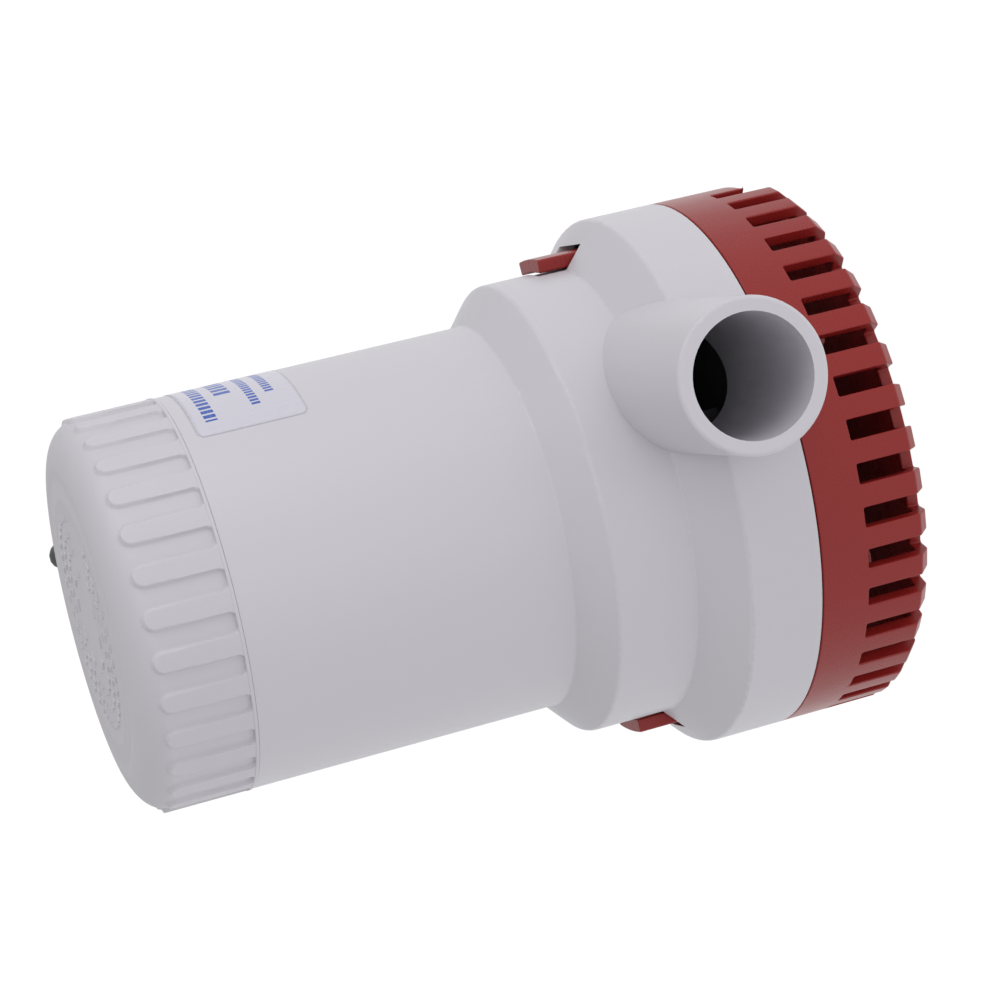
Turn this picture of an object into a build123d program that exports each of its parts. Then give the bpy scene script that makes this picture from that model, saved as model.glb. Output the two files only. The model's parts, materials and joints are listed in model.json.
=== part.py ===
from build123d import *
from math import cos, pi, radians, sin, tan
import os

# Submersible bilge pump, millimetres, +Z up along the motor shaft.
# Origin: on the shaft axis, in the plane the strainer base stands on.
# The outlet points along -Y. The two latch arms are at +X and -X.

# ---------------------------------------------------------------- driving sizes
# Steps of the outline
casing_r = 38.8
middle_step = 6.9        # middle cylinder stands out from the casing
skirt_step = 8.3         # skirt and strainer stand out from the middle cylinder

# Strainer base
base_h = 23.0            # height of the strainer wall
base_wall = 2.4
base_floor = 2.4
base_chamfer = 2.2       # bottom outer edge
slot_count = 40
slot_w = 3.9
slot_top = 13.4          # upper end of the intake slots
slot_reach = 4.8         # how far a slot runs in from the rim across the floor
slot_phase = 6.3         # degrees, first slot from -Y towards +X
slot_free = 8.0          # degrees without slots either side of each latch
relief_w = 18.8          # cut in the wall under each latch
relief_h = 6.5
tongue_wall = 1.6        # ring that centres the housing on the strainer
tongue_h = 4.0           # its height above the strainer wall
tongue_root = 6.0        # depth of the ring's thick root
mount_pcd = 64.0
mount_hole_r = 2.6
mount_count = 4

# Housing: casing, two shoulders, skirt, volute and outlet in one moulding
house_wall = 2.6
skirt_gap = 0.3          # visible gap between strainer and housing
skirt_top = 37.7         # lower shoulder starts
lower_shoulder_h = 7.7
middle_top = 61.0        # upper shoulder starts
upper_shoulder_h = 6.2
casing_top = 130.2       # seam to the end cap
volute_wall = 2.2
volute_clear = 0.8       # chamber wall to the middle cylinder's inside
volute_shift = 3.2       # chamber centre towards the outlet side, +X
volute_floor = 25.6      # underside of the chamber wall, where the cover seats
bulkhead_z = 52.0
bulkhead_t = 3.0
outlet_x = 22.0
outlet_bore_r = 11.5
outlet_r = 14.3          # for 28.6 mm (1 1/8 in) hose
outlet_flare = 0.6       # the root is wider than the hose end
outlet_straight = 22.0   # parallel end that the hose grips
outlet_reach = 76.0      # mouth face from the shaft axis
outlet_edge = 0.8        # rounding of the mouth's outer edge
seat_h = 2.0             # motor seat above the bulkhead
seat_w = 8.0
shoulder_round = 1.4     # outer edge of each shoulder
shoulder_cove = 0.8      # inner edge of each shoulder
hub_r = 12.0
hub_drop = 5.5           # seal hub below the bulkhead

# Latches
latch_gap = 0.3          # latch arm to the middle cylinder
latch_t = 2.7
latch_half_deg = 7.5
latch_top = 50.7
latch_root = 15.0
latch_nub = 0.5          # outward nose that catches the housing ledge
latch_nub_z = 35.0
latch_nub_h = 3.0
pocket_depth = 1.1       # recess behind the latch tab in the middle cylinder
window_gap = 0.4         # housing window to the latch arm

# End cap
cap_h = 21.8
cap_rim_over = 0.3       # cap rim stands out from the casing
cap_rim_h = 0.9
cap_body_under = 0.5     # cap wall between the ribs sits in from the casing
cap_wall = 2.6
cap_corner_w = 9.0
cap_corner_h = 5.8
cap_spigot_h = 8.2
cap_spigot_wall = 5.5
cap_fit = 0.2            # spigot to casing bore
rib_count = 30
rib_w = 4.1
rib_length = 17.4
rib_over = 0.1           # ribs stand out from the casing
rib_phase = 3.0          # degrees, first rib from -Y
seal_ring_r = 0.85       # section radius of the cap's O-ring
seal_ring_up = 4.2       # O-ring above the spigot's end

# Motor
shaft_r = 3.0
shaft_run = 0.05         # radial running clearance in the bearings
bearing_r = 6.0
bearing_h = 5.5
end_hub_r = 9.5
plate_t = 2.5
motor_gap = 3.2          # motor to the casing bore
can_wall = 1.6
can_h = 59.5
magnet_t = 5.8
magnet_h = 38.0
magnet_arc = 130.0
air_gap = 0.8
core_h = 34.0
core_slots = 12
core_slot_w = 3.4
core_slot_depth = 11.0
winding_over = 3.5       # end turns above and below the core
commutator_r = 9.0
commutator_h = 8.5
brush_w = 6.0
brush_len = 9.0
brush_gap = 0.3
holder_wall = 1.0
holder_fit = 0.1
bolt_r = 1.75
bolt_head_r = 2.9
bolt_head_h = 2.4
bolt_in = 5.6            # bolt centres in from the motor's edge
bolt_depth = 4.0         # thread in the bulkhead

# Seal and impeller
seal_r = 8.0
seal_h = 6.0
lip_gap = 0.3            # seal lip to shaft
retainer_t = 1.0
impeller_r = 29.0
impeller_plate_t = 2.0
impeller_hub_r = 6.5
impeller_top = 44.0
impeller_gap = 1.9       # vanes above the volute cover
vane_count = 6
vane_t = 2.0
vane_sweep = 58.0        # degrees from root to tip
vane_root_r = 9.5
nut_r = 5.0
nut_h = 3.0
shaft_tip = 0.7          # shaft below the nut

# Volute cover
cover_t = 2.4
eye_r = 16.0
eye_wall = 2.0
collar_h = 3.7
screw_r = 1.4
screw_head_r = 3.0
screw_head_h = 2.0
screw_len = 11.4
boss_r = 3.5
boss_h = 12.0
boss_out = 2.8           # boss centre beyond the chamber wall
boss_angles = (35, 120, 205, 260)

# Label, cable and leads
label_t = 0.15
label_down = 24.2        # label's lower edge below the seam
label_h = 21.5
label_from = 52.5        # degrees from -Y towards +X
label_arc = 68.0
cable_r = 2.5
gland_angle = 7.8        # degrees from +Y towards +X
gland_up = 14.3          # gland above the seam
gland_neck_r = 3.2
gland_flange_r = 4.2
gland_tip_r = 3.1
gland_out = 15.6         # boot length outside the cap
lead_r = 1.1
coil_x, coil_y = -14.4, 93.9
coil_r = 26.0            # middle of the turns
coil_cols, coil_rows = 2, 3
tie_t = 1.2
tie_w = 3.6

# ---------------------------------------------------------------- derived sizes
middle_r = casing_r + middle_step
base_r = middle_r + skirt_step
skirt_z = base_h + skirt_gap
middle_z = skirt_top + lower_shoulder_h
casing_z = middle_top + upper_shoulder_h
casing_in = casing_r - house_wall
middle_in = middle_r - house_wall
skirt_in = base_r - house_wall
shoulder_drop = house_wall / 2
bulkhead_top = bulkhead_z + bulkhead_t
seat_z = bulkhead_top + seat_h
hub_z = bulkhead_z - hub_drop
volute_out = middle_in - volute_shift - volute_clear
volute_r = volute_out - volute_wall
outlet_root_r = outlet_r + outlet_flare
outlet_z = skirt_z + 0.1 + outlet_root_r
motor_r = casing_in - motor_gap
bolt_circle_r = motor_r - bolt_in
seat_r_out = motor_r - 2.0
seat_r_in = seat_r_out - seat_w
cap_top = casing_top + cap_h
cap_body_r = casing_r - cap_body_under
rib_r = casing_r + rib_over
gland_z = casing_top + gland_up
label_z0 = casing_top - label_down
latch_in = middle_r + latch_gap
latch_out = latch_in + latch_t
latch_half = radians(latch_half_deg)
window_out = latch_out + latch_nub + window_gap
window_half = latch_out * sin(latch_half) + window_gap
pocket_r = middle_r - pocket_depth
plate_top = seat_z + plate_t
can_top = plate_top + can_h
brush_plate_top = can_top + plate_t
magnet_r = motor_r - can_wall
core_r = magnet_r - magnet_t - air_gap
can_mid = plate_top + can_h / 2
core_z = can_mid - core_h / 2 - 2.0
commutator_z = core_z + core_h + winding_over + 1.0
low_bearing_z = plate_top - 1.0
top_bearing_z = can_top + 0.5
shaft_top = top_bearing_z + bearing_h + 1.0
cover_z = volute_floor - cover_t
vane_z = volute_floor + impeller_gap
nut_z = vane_z + 1.0
impeller_hub_z = nut_z + nut_h
shaft_bottom = nut_z - shaft_tip
coil_h = 2 * cable_r * coil_rows
coil_in = coil_r - cable_r * coil_cols
coil_out = coil_r + cable_r * coil_cols

# The cable's route from the boot to the coil, chosen by hand.
cable_points = [
    (7.3, 53.5, 144.5),
    (7.45, 54.6, 144.5),
    (7.6, 68.0, 147.6),
    (9.6, 96.0, 134.0),
    (12.4, 113.0, 98.0),
    (14.0, 124.0, 64.0),
    (14.0, 126.0, 36.0),
    (13.5, 108.0, 16.5),
    (10.0, 85.0, 13.7),
]

parts = {}


# ---------------------------------------------------------------- small helpers
def disc(r, z0, z1, x=0.0, y=0.0):
    """Solid upright cylinder from z0 to z1."""
    return Pos(x, y, (z0 + z1) / 2) * Cylinder(r, z1 - z0)


def ring(r_out, r_in, z0, z1, x=0.0, y=0.0):
    """Upright tube from z0 to z1."""
    return disc(r_out, z0, z1, x, y) - disc(r_in, z0 - 1, z1 + 1, x, y)


def block(x0, x1, y0, y1, z0, z1):
    """Box between two corners."""
    return Pos((x0 + x1) / 2, (y0 + y1) / 2, (z0 + z1) / 2) * Box(x1 - x0, y1 - y0, z1 - z0)


def turned(points):
    """Solid of revolution about Z from (radius, height) points."""
    outline = Polyline(*[(r, 0, z) for r, z in points], close=True)
    return revolve(make_face(outline), Axis.Z)


def around(shape, count, phase=0.0):
    """Copies of a shape turned about Z."""
    step = 360.0 / count
    return [Rot(0, 0, phase + i * step) * shape for i in range(count)]


def radial_rod(r, start, end, z, x=0.0):
    """Cylinder along +X from start to end at height z."""
    return Pos((start + end) / 2, x, z) * Rot(0, 90, 0) * Cylinder(r, end - start)


def sector(r_out, r_in, z0, z1, middle_deg, half_deg):
    """Part of a tube, half_deg either side of an angle measured from +X."""
    far = r_out * 1.5
    a0, a1 = radians(middle_deg - half_deg), radians(middle_deg + half_deg)
    am = radians(middle_deg)
    wedge = Polyline((0, 0), (far * cos(a0), far * sin(a0)), (far * cos(am) * 1.4, far * sin(am) * 1.4),
                     (far * cos(a1), far * sin(a1)), close=True)
    return ring(r_out, r_in, z0, z1) & (Pos(0, 0, z0) * extrude(make_face(wedge), z1 - z0))


def from_front(angle):
    """Turn an angle measured from -Y towards +X into one measured from +X."""
    return angle - 90.0


def tube_along(points, radii, r):
    """Round tube along straight runs joined by tangent arcs."""
    path = FilletPolyline(*points, radius=radii)
    start = Vector(*points[0])
    heading = Vector(*points[1]) - start
    section = Plane(origin=start, z_dir=heading) * Circle(r)
    return sweep(section, path=path)


def route_radii(points):
    """Arc at each corner: 0.45 of the shorter run over the tangent of half the turn."""
    radii = []
    for before, corner, after in zip(points, points[1:], points[2:]):
        run_in = Vector(*corner) - Vector(*before)
        run_out = Vector(*after) - Vector(*corner)
        half_turn = radians(run_in.get_angle(run_out)) / 2
        radii.append(0.45 * min(run_in.length, run_out.length) / tan(half_turn))
    return radii


def store(name, shape):
    """Keep one named sub-part."""
    parts[name] = shape


# ---------------------------------------------------------------- strainer and latches
def strainer_base():
    """Slotted cup with a centring ring, latch shelves and screw holes."""
    inner = base_r - base_wall
    cup = turned([
        (0, 0), (base_r - base_chamfer, 0), (base_r, base_chamfer), (base_r, base_h),
        (inner, base_h), (inner, base_floor), (0, base_floor),
    ])
    slot = block(base_r - slot_reach, base_r + 5, -slot_w / 2, slot_w / 2, -1, slot_top)
    turns = [from_front(slot_phase) + i * 360 / slot_count for i in range(slot_count)]
    cup -= [Rot(0, 0, turn) * slot for turn in turns if abs((turn + 90) % 180 - 90) > slot_free]
    relief = block(base_r - slot_reach, base_r + 5, -relief_w / 2, relief_w / 2, -1, relief_h)
    relief = fillet(relief.edges().filter_by(Axis.X).group_by(Axis.Z)[-1], 1.5)
    cup -= [relief, Rot(0, 0, 180) * relief]
    tongue_out = skirt_in - 0.4
    tongue_in = tongue_out - tongue_wall
    tongue = ring(inner, tongue_in, base_h - tongue_root, base_h)
    tongue += ring(tongue_out, tongue_in, base_h - 0.5, base_h + tongue_h)
    way = latch_out * sin(latch_half) + 1.6
    tongue -= block(-base_r, base_r, -way, way, base_h - tongue_root - 1, base_h + tongue_h + 1)
    pipe_way = outlet_root_r + 0.8
    tongue -= block(outlet_x - pipe_way, outlet_x + pipe_way, -base_r, 0, base_h, base_h + tongue_h + 1)
    cup += tongue
    shelf_top = latch_root - 0.4
    shelf = block(latch_in - 1.0, base_r, -way, way, slot_top, shelf_top)
    shelf &= disc(inner + 0.2, slot_top, shelf_top)
    cup += [shelf, Rot(0, 0, 180) * shelf]
    hole = disc(mount_hole_r, -1, base_floor + 1, x=mount_pcd / 2)
    return cup - around(hole, mount_count, 45)


def latch_arm():
    """Springy arm with a nose, drawn at +X."""
    arm = sector(latch_out, latch_in, latch_root, latch_top, 0, latch_half_deg)
    nose = sector(latch_out + latch_nub, latch_in, latch_nub_z, latch_nub_z + latch_nub_h, 0,
                  latch_half_deg - 1)
    tip_edges = arm.edges().filter_by(Axis.Z).group_by(SortBy.LENGTH)[-1]
    arm = fillet(tip_edges, 0.4)
    return arm + nose


# ---------------------------------------------------------------- housing
def boss_places():
    """Centres of the screw bosses round the chamber."""
    reach = volute_out + boss_out
    return [(volute_shift + reach * cos(radians(a)), reach * sin(radians(a))) for a in boss_angles]


def pump_housing():
    """Casing, shoulders and skirt with bulkhead, chamber wall and outlet."""
    outline = make_face(Polyline(*[(r, 0, z) for r, z in [
        (base_r, skirt_z), (base_r, skirt_top), (middle_r, middle_z), (middle_r, middle_top),
        (casing_r, casing_z), (casing_r, casing_top), (casing_in, casing_top),
        (casing_in, casing_z - shoulder_drop), (middle_in, middle_top - shoulder_drop),
        (middle_in, middle_z - shoulder_drop), (skirt_in, skirt_top - shoulder_drop),
        (skirt_in, skirt_z),
    ]], close=True))
    for radius, places in ((shoulder_round, ((base_r, skirt_top), (middle_r, middle_top))),
                           (shoulder_cove, ((middle_r, middle_z), (casing_r, casing_z)))):
        corners = [v for v in outline.vertices() if any(abs(v.X - r) + abs(v.Z - z) < 0.01 for r, z in places)]
        outline = fillet(corners, radius)
    shell = revolve(outline, Axis.Z)
    shell += disc(middle_in + 0.5, bulkhead_z, bulkhead_top)
    shell += ring(seat_r_out, seat_r_in, bulkhead_top - 0.5, seat_z)
    shell += ring(volute_out, volute_r, volute_floor, bulkhead_z + 0.5, x=volute_shift)
    for x, y in boss_places():
        shell += disc(boss_r, volute_floor, volute_floor + boss_h, x, y)
    pipe_start = volute_r - 8.0
    taper = outlet_reach - outlet_straight - pipe_start
    pipe = Pos(0, 0, pipe_start + taper / 2) * Cone(outlet_root_r, outlet_r, taper)
    pipe += disc(outlet_r, outlet_reach - outlet_straight, outlet_reach)
    pipe = fillet(pipe.edges().sort_by(Axis.Z)[-1], outlet_edge)
    shell += Pos(outlet_x, 0, outlet_z) * Rot(90, 0, 0) * pipe
    shell -= disc(volute_r, volute_floor - 1, bulkhead_z, x=volute_shift)
    shell += disc(hub_r, hub_z, seat_z)
    shell += disc(bolt_r + 2.4, bulkhead_z - 1.5, seat_z, y=bolt_circle_r)
    shell += disc(bolt_r + 2.4, bulkhead_z - 1.5, seat_z, y=-bolt_circle_r)
    shell -= disc(volute_out + 0.2, skirt_z - 3, volute_floor, x=volute_shift)
    for x, y in boss_places():
        shell -= disc(boss_r + 0.5, skirt_z - 3, volute_floor, x, y)
        shell -= disc(screw_r, volute_floor - 1, volute_floor + boss_h - 2, x, y)
    bore_start = 20.0
    shell -= Pos(outlet_x, 0, outlet_z) * Rot(90, 0, 0) * disc(outlet_bore_r, bore_start, outlet_reach + 5)
    shell -= disc(seal_r, hub_z - 1, hub_z + retainer_t + seal_h)
    shell -= disc(shaft_r + 0.8, hub_z, seat_z + 1)
    for y in (bolt_circle_r, -bolt_circle_r):
        shell -= disc(bolt_r, seat_z - bolt_depth, seat_z + 1, y=y)
    window = block(pocket_r, window_out, -window_half, window_half, skirt_z - 1, latch_top + 0.6)
    shell -= [window, Rot(0, 0, 180) * window]
    return shell


def volute_cover():
    """Plate that closes the chamber, with the inlet eye and its collar."""
    plate = disc(volute_out, cover_z, volute_floor, x=volute_shift)
    for x, y in boss_places():
        plate += disc(boss_r + 0.3, cover_z, volute_floor, x, y)
    plate += disc(eye_r + eye_wall, cover_z - collar_h, cover_z + 0.5)
    plate -= disc(eye_r, cover_z - collar_h - 1, volute_floor + 1)
    for x, y in boss_places():
        plate -= disc(screw_r, cover_z - 1, volute_floor + 1, x, y)
    return plate


def cover_screws():
    """Self-tapping screws with domed heads under the cover."""
    screws = []
    for x, y in boss_places():
        head = disc(screw_head_r, cover_z - screw_head_h, cover_z, x, y)
        head = chamfer(head.edges().sort_by(Axis.Z)[0], 0.6)
        head -= Pos(x, y, cover_z - screw_head_h) * Box(3.2, 0.8, 1.6)
        head -= Pos(x, y, cover_z - screw_head_h) * Box(0.8, 3.2, 1.6)
        screws.append(head + disc(screw_r, cover_z - 0.2, cover_z + screw_len, x, y))
    return Compound(screws)


# ---------------------------------------------------------------- end cap
def end_cap():
    """Ribbed cap with a spigot that seats in the casing bore."""
    spigot_r = casing_in - cap_fit
    spigot_z = casing_top - cap_spigot_h
    steps = 6
    corner = []
    for i in range(steps + 1):
        a = pi / 2 * i / steps
        corner.append((cap_body_r - cap_corner_w * (1 - cos(a)), cap_top - cap_corner_h * (1 - sin(a))))
    inside_r = cap_body_r - cap_wall
    body = turned([
        (0, cap_top - cap_wall), (cap_body_r - cap_corner_w, cap_top - cap_wall),
        (inside_r, cap_top - cap_corner_h), (inside_r, casing_top + 1.0),
        (spigot_r - cap_spigot_wall, casing_top - 1.0), (spigot_r - cap_spigot_wall, spigot_z),
        (spigot_r, spigot_z), (spigot_r, casing_top), (cap_body_r, casing_top),
        *corner, (0, cap_top),
    ])
    rim_r = casing_r + cap_rim_over
    body += ring(rim_r, inside_r, casing_top, casing_top + cap_rim_h)
    pitch = 2 * pi * rib_r / rib_count
    valley_r = (pitch - rib_w) / 2
    valley_z = casing_top + cap_rim_h + valley_r
    tip_z = casing_top + rib_length - rib_w / 2
    band = ring(rib_r, inside_r, casing_top, valley_z)
    band -= around(radial_rod(valley_r, cap_body_r, rib_r + 2, valley_z), rib_count,
                   from_front(rib_phase + 180 / rib_count))
    ribs = []
    for rib in around(block(inside_r, rib_r + 1, -rib_w / 2, rib_w / 2, valley_z - 0.01, tip_z)
                      + radial_rod(rib_w / 2, inside_r, rib_r + 1, tip_z),
                      rib_count, from_front(rib_phase)):
        ribs.append(rib)
    crown = ring(rib_r, inside_r, valley_z - 0.01, tip_z + rib_w) & Compound(ribs)
    body = body + band + crown
    groove_z = spigot_z + seal_ring_up
    body -= ring(spigot_r + 1, spigot_r - 1.5, groove_z - 1.1, groove_z + 1.1)
    body -= gland_turn() * radial_rod(gland_neck_r, inside_r - 2, cap_body_r + 3, gland_z)
    body -= gland_turn() * radial_rod(gland_flange_r + 0.3, inside_r - 12, inside_r - 0.3, gland_z)
    return body


def gland_turn():
    """Turn that carries +X to the cable's way out."""
    return Rot(0, 0, 90.0 - gland_angle)


def cap_seal_ring():
    """O-ring in the spigot's groove."""
    groove_floor = casing_in - cap_fit - 1.5
    middle = groove_floor + seal_ring_r + (casing_in - groove_floor - 2 * seal_ring_r) / 2
    return Pos(0, 0, casing_top - cap_spigot_h + seal_ring_up) * Torus(middle, seal_ring_r)


def rating_label():
    """Thin film on the casing."""
    middle = from_front(label_from + label_arc / 2)
    return sector(casing_r + label_t, casing_r, label_z0, label_z0 + label_h, middle, label_arc / 2)


# ---------------------------------------------------------------- cable
def cable_gland():
    """Moulded strain relief: inner flange, neck, outer flange and tapered boot."""
    inside_r = cap_body_r - cap_wall
    inner = radial_rod(gland_flange_r, inside_r - 2.5, inside_r - 0.5, gland_z)
    neck = radial_rod(gland_neck_r, inside_r - 0.6, rib_r + 0.3, gland_z)
    collar = radial_rod(gland_flange_r, rib_r + 0.2, rib_r + 2.0, gland_z)
    boot_end = cap_body_r + gland_out
    boot_len = boot_end - rib_r - 1.9
    boot = Cone(gland_flange_r - 0.4, gland_tip_r, boot_len)
    boot = Pos(boot_end - boot_len / 2, 0, gland_z) * Rot(0, 90, 0) * boot
    for i in range(3):
        x = rib_r + 4.2 + 3.0 * i
        boot -= Pos(x, 0, gland_z) * Rot(0, 90, 0) * (Cylinder(5, 1.0) - Cylinder(2.9, 1.2))
    return gland_turn() * (inner + neck + collar + boot)


def power_cable():
    """Sheathed two-core cable from the boot down to the coil."""
    return tube_along(cable_points, route_radii(cable_points), cable_r)


def cable_coil():
    """Outer shape of the coiled spare length."""
    return ring(coil_out, coil_in, tie_t, tie_t + coil_h, coil_x, coil_y)


def cable_tie():
    """Band round the coil's section, at its far side."""
    y_in, y_out = coil_y + coil_in, coil_y + coil_out
    gap = 0.4
    outer = block(coil_x - tie_w / 2, coil_x + tie_w / 2, y_in - gap - tie_t, y_out + gap + tie_t,
                  0, coil_h + 2 * tie_t)
    hollow = block(coil_x - tie_w, coil_x + tie_w, y_in - gap, y_out + gap, tie_t, coil_h + tie_t)
    head = block(coil_x - tie_w, coil_x + tie_w, y_out - 5, y_out + 1, coil_h + 2 * tie_t, coil_h + 2 * tie_t + 3)
    return outer - hollow + head


def lead_tail(side):
    """One bare-ended core lying on the floor beside the coil."""
    x = coil_x - coil_r - cable_r + side * 1.3
    y = coil_y + 3.0
    spread = side * 7.0
    points = [(x, y, 2.6), (x + side * 0.4, y + 14, 1.5), (x + spread * 0.5, y + 30, lead_r),
              (x + spread, y + 44, lead_r)]
    return tube_along(points, route_radii(points), lead_r)


# ---------------------------------------------------------------- seal
def shaft_seal():
    """Lip seal: outer wall, web and a lip round the shaft."""
    z0 = hub_z + retainer_t
    z1 = z0 + seal_h
    lip = shaft_r + lip_gap
    return turned([
        (seal_r, z0), (seal_r, z1), (lip, z1), (lip, z0 + 0.6), (lip + 1.0, z0 + 0.6),
        (lip + 1.2, z1 - 1.6), (seal_r - 1.3, z1 - 1.6), (seal_r - 1.3, z0),
    ])


def seal_spring():
    """Garter spring round the seal lip, drawn as a ring."""
    return Pos(0, 0, hub_z + retainer_t + 1.4) * Torus(shaft_r + lip_gap + 1.85, 0.55)


def seal_retainer():
    """Stainless washer that keeps the seal in its hub."""
    return ring(seal_r, shaft_r + 0.7, hub_z, hub_z + retainer_t)


# ---------------------------------------------------------------- motor, fixed side
def drive_end_plate():
    """Steel plate at the pump end with the lower bearing's hub."""
    plate = disc(motor_r, seat_z, plate_top) + disc(end_hub_r, seat_z, low_bearing_z + bearing_h)
    plate -= disc(shaft_r + 0.6, seat_z - 1, plate_top + 1)
    plate -= disc(bearing_r, low_bearing_z, low_bearing_z + bearing_h + 1)
    return plate - bolt_holes(seat_z, plate_top)


def bolt_holes(z0, z1):
    """Clearance for the two long motor bolts."""
    return [disc(bolt_r, z0 - 1, z1 + 1, y=side * bolt_circle_r) for side in (1, -1)]


def bearing(z):
    """Sintered bush."""
    return ring(bearing_r, shaft_r + shaft_run, z, z + bearing_h)


def motor_can():
    """Steel flux tube."""
    return ring(motor_r, magnet_r, plate_top, can_top)


def magnet(angle):
    """Arc magnet bonded inside the can."""
    z0 = core_z + core_h / 2 - magnet_h / 2
    return sector(magnet_r, magnet_r - magnet_t, z0, z0 + magnet_h, angle, magnet_arc / 2)


def brush_end_plate():
    """Moulded plate that carries the upper bearing and the brush holders."""
    hub_top = top_bearing_z + bearing_h
    plate = disc(motor_r, can_top, brush_plate_top) + disc(end_hub_r, can_top, hub_top)
    plate -= disc(shaft_r + 0.6, can_top - 1, brush_plate_top)
    plate -= disc(bearing_r, top_bearing_z, hub_top + 1)
    return plate - bolt_holes(can_top, brush_plate_top)


def brush_middle():
    """Height of the brushes."""
    return commutator_z + commutator_h / 2


def brush():
    """Carbon brush at +X, hollowed to the commutator's curve."""
    z = brush_middle()
    x0 = commutator_r + brush_gap
    stick = block(x0 - 0.6, x0 + brush_len, -brush_w / 2, brush_w / 2, z - brush_w / 2, z + brush_w / 2)
    return stick - disc(x0, z - brush_w, z + brush_w)


def brush_holders():
    """Two brass boxes hung from the brush plate."""
    z = brush_middle()
    inner = brush_w / 2 + holder_fit
    outer = inner + holder_wall
    x0 = commutator_r + 2.0
    x1 = commutator_r + brush_gap + brush_len + 4.0
    box = block(x0, x1, -outer, outer, z - outer, z + outer)
    box -= block(x0 - 1, x1 - holder_wall, -inner, inner, z - inner, z + inner)
    box += block(x0 + 2, x1 - 2, -outer + 1, outer - 1, z + outer - 0.1, can_top)
    return Compound([box, Rot(0, 0, 180) * box])


def brush_springs():
    """Springs behind the brushes, drawn as tubes."""
    x0 = commutator_r + brush_gap + brush_len
    x1 = x0 + 4.0 - holder_wall
    spring = radial_rod(2.2, x0, x1, brush_middle()) - radial_rod(1.5, x0 - 1, x1 + 1, brush_middle())
    return Compound([spring, Rot(0, 0, 180) * spring])


def suppression_chokes():
    """Two ferrite rods with their windings on the brush plate."""
    def choke(x):
        rod = Pos(x, -12, brush_plate_top + 3.4) * Rot(90, 0, 0) * Cylinder(2.2, 15)
        coil = Pos(x, -12, brush_plate_top + 3.4) * Rot(90, 0, 0) * Cylinder(3.4, 11)
        return rod + coil
    return Compound([choke(17), choke(-17)])


def suppression_capacitor():
    """Film capacitor across the brush leads."""
    case = Pos(0, -16.5, brush_plate_top + 4.5) * Box(13, 6, 9)
    return fillet(case.edges().filter_by(Axis.Z), 1.0)


def motor_bolts():
    """Two long bolts through the motor into the bulkhead."""
    bolts = []
    for side in (1, -1):
        y = side * bolt_circle_r
        shank = disc(bolt_r, seat_z - bolt_depth, brush_plate_top + 0.2, y=y)
        head = disc(bolt_head_r, brush_plate_top, brush_plate_top + bolt_head_h, y=y)
        head -= Pos(0, y, brush_plate_top + bolt_head_h) * Box(4.4, 1.0, 2.0)
        bolts.append(shank + head)
    return Compound(bolts)


def inner_lead(side):
    """Insulated wire from the gland to a brush terminal."""
    start_y = cap_body_r - cap_wall - 2.8
    a = radians(gland_angle)
    x = start_y * sin(a) + side * 1.5 * cos(a)
    y = start_y * cos(a) - side * 1.5 * sin(a)
    points = [(x, y, gland_z), (x + side * 1.0, y - 13, gland_z - 1), (side * 17.0, 9.0, gland_z - 9),
              (side * 17.0, 6.0, brush_plate_top + 0.4)]
    return tube_along(points, route_radii(points), lead_r)


# ---------------------------------------------------------------- rotor
def motor_shaft():
    """Stainless shaft from the impeller nut to the upper bearing."""
    shaft = disc(shaft_r, shaft_bottom, shaft_top)
    return chamfer(shaft.edges().group_by(Axis.Z)[-1], 0.5)


def armature_core():
    """Laminated core with winding slots."""
    core = ring(core_r, shaft_r, core_z, core_z + core_h)
    groove = block(core_r - core_slot_depth, core_r + 1, -core_slot_w / 2, core_slot_w / 2,
                   core_z - 1, core_z + core_h + 1)
    return core - around(groove, core_slots)


def armature_windings():
    """Copper in the core's slots, joined by the end turns."""
    fill = core_slot_w / 2 - 0.2
    outer = core_r - 1.4
    inner = core_r - core_slot_depth + 0.2
    bar = block(inner, outer, -fill, fill, core_z - 0.5, core_z + core_h + 0.5)
    turns = ring(outer, shaft_r + 3.5, core_z - winding_over, core_z)
    turns += ring(outer, shaft_r + 3.5, core_z + core_h, core_z + core_h + winding_over)
    return turns + around(bar, core_slots)


def commutator():
    """Copper segments on a moulded core."""
    drum = ring(commutator_r, shaft_r, commutator_z, commutator_z + commutator_h)
    slit = block(commutator_r - 1.0, commutator_r + 1, -0.3, 0.3, commutator_z - 1, commutator_z + commutator_h + 1)
    return drum - around(slit, core_slots, 15)


def thrust_washers():
    """Nylon washers that take the shaft's end play."""
    low = low_bearing_z + bearing_h + 0.4
    high = can_top - 0.4
    return Compound([ring(6.2, shaft_r, low, low + 1.0), ring(6.2, shaft_r, high - 1.0, high)])


def impeller():
    """Back plate, hub and vanes that sweep back from the turning direction."""
    body = disc(impeller_r, impeller_top - impeller_plate_t, impeller_top)
    body += disc(impeller_hub_r, impeller_hub_z, impeller_top + 1.2)
    tip = impeller_r - vane_t / 2 - 0.2
    sweep_a = radians(vane_sweep)
    bend = radians(vane_sweep * 0.38)
    mid_r = (vane_root_r + tip) / 2
    line = ThreePointArc((vane_root_r, 0), (mid_r * cos(bend), mid_r * sin(bend)),
                         (tip * cos(sweep_a), tip * sin(sweep_a)))
    vane = Pos(0, 0, vane_z) * extrude(trace(line, vane_t), impeller_top - impeller_plate_t - vane_z + 0.2)
    body += around(vane, vane_count)
    return body - disc(shaft_r, vane_z - 1, impeller_top + 5)


def impeller_nut():
    """Stainless nut under the impeller hub."""
    nut = Pos(0, 0, nut_z) * extrude(RegularPolygon(nut_r, 6), nut_h)
    return nut - disc(shaft_r, nut_z - 1, nut_z + nut_h + 1)


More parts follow.
